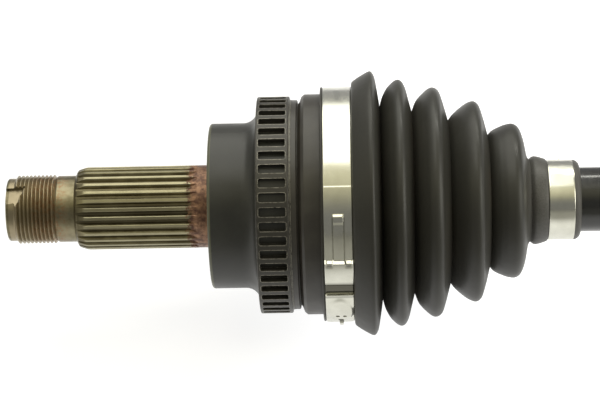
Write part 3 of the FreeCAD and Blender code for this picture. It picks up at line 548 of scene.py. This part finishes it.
def clamp_painted_shade(u, v, half):
    """How much painted shade darkens a clamp: in the dip before its tab, along its tongue and in its holes."""
    side = abs(v)
    dip = ramp(u, STEP_AT + BULGE - 1.6, STEP_AT + BULGE + 0.8) * ramp(u, TAB_AT + 0.1, TAB_AT - 0.3)
    foot = 0.5 * ramp(u, TAB_AT + 2.6, TAB_AT + 1.2) * ramp(u, TAB_AT + 0.3, TAB_AT + 0.9)
    groove = 0.35 * ramp(side, 1.85, 2.05) * ramp(side, 2.6, 2.2) * ramp(u, 0.4, 1.0) * ramp(u, STEP_AT + 1.0, STEP_AT)
    across = abs(v - HOLE_MIDDLE)
    hole = ramp(math.hypot(u - HOLE_AT, across - HOLE_SPREAD), 0.75, 0.5)
    slot = ramp(across, 1.1, 0.9) * ramp(u, HOOK_AT - 3.4, HOOK_AT - 3.0) * ramp(u, HOOK_AT + 0.2, HOOK_AT)
    return max(0.9 * dip, foot, groove, hole, 0.7 * slot)


def tab_height(u, v, half):
    """The free end of the band: a rolled edge, a pressed dome, two holes and a hook."""
    side = abs(v)
    corner = 2.6
    dx = max(0.0, side - (half - corner))
    dy = max(0.0, u - (TAB_END - corner))
    if u > TAB_END or math.hypot(dx, dy) > corner:
        return 0.0
    share = (u - TAB_AT) / 16.0
    dome = 0.75 * ramp(math.hypot(side / half, (share - 0.72) / 0.62), 1.0, 0.75)
    high = 0.75 + dome + 0.25 * ramp(u, TAB_AT + 1.4, TAB_AT + 0.6)
    across = v - HOLE_MIDDLE
    if math.hypot(u - HOLE_AT, abs(across) - HOLE_SPREAD) < 0.55:
        return 0.0
    if abs(across) < 0.9 and HOOK_AT - 3.2 < u < HOOK_AT:
        return 0.1
    if abs(across) < 0.8 and u > HOOK_AT:
        high += 1.3 * ramp(u, HOOK_AT, HOOK_AT + 0.9) * ramp(u, TAB_END, TAB_END - 0.9)
    return high


def clamp(name, body, steel, inner, azimuth, k):
    """A crimped band clamp in the place of its node: one closed band whose section changes on the way round.
    azimuth is where its tongue starts, and k scales the pressed features to a smaller clamp."""
    low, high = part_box(name)
    middle = (low[0] + high[0]) / MM / 2
    half = (high[0] - low[0]) / MM / 2
    outer = inner + BAND
    fine = [LAP_AT - 1.0 + 0.3 * i for i in range(int((TAB_END - LAP_AT + 2.5) / 0.3))]
    turns = [u * k / outer for u in fine]
    rest = 2 * math.pi - (turns[-1] - turns[0])
    coarse = int(rest / 0.035)
    places = list(zip(fine, turns)) + [(TAB_END * 2, turns[-1] + rest * i / coarse) for i in range(1, coarse)]
    columns = 2 * int(half / (0.25 * max(k, 0.6)))
    count = columns + 3
    verts = []
    painted_shade = []
    for u, turn in places:
        a = math.radians(azimuth) + turn
        section = [(middle - half, inner)]
        painted_shade.append(0.0)
        for i in range(columns + 1):
            v = half * (2 * i / columns - 1)
            trim = 0.14 * ramp(abs(v), half - 0.35, half)
            section.append((middle + v, outer - trim + k * clamp_height(u, v / k, half / k)))
            painted_shade.append(clamp_painted_shade(u, v / k, half / k))
        section.append((middle + half, inner))
        painted_shade.append(0.0)
        verts += [(x * MM, r * MM * math.cos(a), r * MM * math.sin(a)) for x, r in section]
    faces = []
    for j in range(len(places)):
        here, there = j * count, (j + 1) % len(places) * count
        faces += [(here + i, here + (i + 1) % count, there + (i + 1) % count, there + i) for i in range(count)]
    mesh = bpy.data.meshes.new(name + "_band")
    mesh.from_pydata(verts, [], faces)
    # Painted shade at each point of the band, which its material uses to darken it.
    mesh.attributes.new("painted_shade", "FLOAT", "POINT").data.foreach_set("value", painted_shade)
    band = new_object(name + "_band", finish_mesh(mesh, 38))
    band.data.materials.append(steel)
    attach(band, body)
    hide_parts(name)


def camera():
    """The photograph's view: square to the shaft from in front and above, a long lens, and a slight roll."""
    data = bpy.data.cameras.new("camera")
    data.sensor_width = SENSOR
    data.lens = SENSOR * FOCAL_PX / IMAGE_WIDTH
    raised = Matrix.Rotation(math.radians(-CAMERA_ELEVATION), 3, "X")
    place = raised @ Vector((CAMERA_X, CAMERA_Y, 0))
    forward = (raised @ Vector((AIM_X, 0, -CAMERA_Y * AIM_DROP / FOCAL_PX)) - place).normalized()
    right = forward.cross(raised @ Vector((0, 0, 1))).normalized()
    up = right.cross(forward)
    roll = math.radians(ROLL_DEG)
    side = right * math.cos(roll) - up * math.sin(roll)
    top = up * math.cos(roll) + right * math.sin(roll)
    turn = Matrix((side, top, -forward)).transposed()
    obj = bpy.data.objects.new("camera", data)
    obj.matrix_world = Matrix.Translation(place) @ turn.to_4x4()
    bpy.context.scene.collection.objects.link(obj)
    bpy.context.scene.camera = obj


def softbox(name, place, aim, width, height, watts):
    """A rectangular studio light."""
    data = bpy.data.lights.new(name, "AREA")
    data.shape = "RECTANGLE"
    data.size = width
    data.size_y = height
    data.energy = watts
    data.color = LIGHT_TINT
    obj = bpy.data.objects.new(name, data)
    obj.location = place
    obj.rotation_euler = (Vector(aim) - Vector(place)).to_track_quat("-Z", "Y").to_euler()
    obj.visible_camera = False
    bpy.context.scene.collection.objects.link(obj)


def studio():
    """White room: a pale glowing table, two softboxes above, a window towards the gearbox side, and walls that
    are dim behind the camera and warm between it and the softboxes."""
    mesh = bpy.data.meshes.new("floor")
    far = TABLE_SIZE / 2
    mesh.from_pydata([(-far, -far, FLOOR_Z), (far, -far, FLOOR_Z), (far, far, FLOOR_Z), (-far, far, FLOOR_Z)],
                     [], [(0, 1, 2, 3)])
    floor = new_object("floor", mesh)
    look = Look("floor")
    tone = look.mix(look.noise(3, 2), (TABLE_ALBEDO,) * 3, (TABLE_ALBEDO + 0.02,) * 3)
    seen = look.add("ShaderNodeLightPath").outputs[0]
    lit = look.math("MAXIMUM", look.span(look.y, -0.135, -0.045), seen)
    washed = look.math("MULTIPLY", seen, look.span(look.x, -0.01, 0.07, 0.0, TABLE_WASH))
    floor.data.materials.append(look.done(
        Base_Color=tone, Roughness=0.9, Specular_IOR_Level=0.1, Emission_Color=(1.0, 1.0, 1.0),
        Emission_Strength=look.math("MULTIPLY_ADD", lit, TABLE_GLOW, washed)))
    for name, x, angle, lean, width, depth, radiance in LIGHTS:
        up = math.radians(angle)
        away = math.cos(math.radians(lean)) * LIGHT_DISTANCE
        place = (x + math.sin(math.radians(lean)) * LIGHT_DISTANCE, -math.cos(up) * away, math.sin(up) * away)
        softbox(name, place, (x, 0, 0), width, depth, radiance * math.pi * width * depth)
    world = bpy.data.worlds.new("studio")
    bpy.context.scene.world = world
    world.use_nodes = True
    tree = world.node_tree
    back = tree.nodes["Background"]
    place = tree.nodes.new("ShaderNodeTexCoord")
    split = tree.nodes.new("ShaderNodeSeparateXYZ")
    tree.links.new(place.outputs["Generated"], split.inputs[0])
    forward = tree.nodes.new("ShaderNodeMath")
    forward.operation = "MULTIPLY"
    forward.inputs[1].default_value = -1.0
    tree.links.new(split.outputs[1], forward.inputs[0])
    rise = tree.nodes.new("ShaderNodeMath")
    rise.operation = "ARCTAN2"
    tree.links.new(split.outputs[2], rise.inputs[0])
    tree.links.new(forward.outputs[0], rise.inputs[1])
    share = tree.nodes.new("ShaderNodeMath")
    share.operation = "MULTIPLY_ADD"
    share.inputs[1].default_value = 0.5 / math.pi
    share.inputs[2].default_value = 0.5
    tree.links.new(rise.outputs[0], share.inputs[0])
    front = tree.nodes.new("ShaderNodeValToRGB")
    for _ in ROOM_TONES[2:]:
        front.color_ramp.elements.new(0.5)
    for stop, (angle, tone, warm) in zip(front.color_ramp.elements, ROOM_TONES):
        stop.position = angle / 360 + 0.5
        stop.color = rgba(tuple(tone * (1 - warm + warm * tint) for tint in WARM_TINT))
    tree.links.new(share.outputs[0], front.inputs[0])
    path = tree.nodes.new("ShaderNodeLightPath")
    seen = tree.nodes.new("ShaderNodeMath")
    seen.operation = "MULTIPLY_ADD"
    seen.inputs[1].default_value = ROOM_SEEN
    seen.inputs[2].default_value = 1.0
    tree.links.new(path.outputs["Is Camera Ray"], seen.inputs[0])
    tree.links.new(seen.outputs[0], back.inputs["Strength"])
    tree.links.new(front.outputs[0], back.inputs["Color"])
    bpy.context.scene.view_settings.view_transform = "Standard"


camera()
studio()
RUBBER = boot_rubber()
BANDS = clamp_steel()
FORGING = forged_steel()
paint_nodes({
    "forged_steel": FORGING,
    "ring_steel": ring_steel(),
    "boot_rubber": RUBBER,
    "clamp_steel": BANDS,
    "bar_paint": bar_paint(),
    "housing_steel": housing_steel(),
    "hardened_steel": plain_steel("hardened_steel", (0.42, 0.41, 0.40), (0.32, 0.31, 0.30), 0.25, 0.35),
    "bearing_steel": plain_steel("bearing_steel", (0.70, 0.70, 0.70), (0.62, 0.62, 0.62), 0.08, 0.14),
    "spring_steel": plain_steel("spring_steel", (0.30, 0.30, 0.30), (0.20, 0.20, 0.20), 0.30, 0.42),
})
outer_boot(RUBBER)
bell_step(FORGING)
inner_boot(RUBBER)
clamp("outer_clamp_large", "wheel_side", BANDS, 43.45, 155.4, 1.0)
clamp("outer_clamp_small", "bar", BANDS, 14.2, -62.0, 0.5)
clamp("inner_clamp_large", "gearbox_side", BANDS, 37.06, -3.1, 0.9)
clamp("inner_clamp_small", "bar", BANDS, 14.2, 77.4, 0.5)
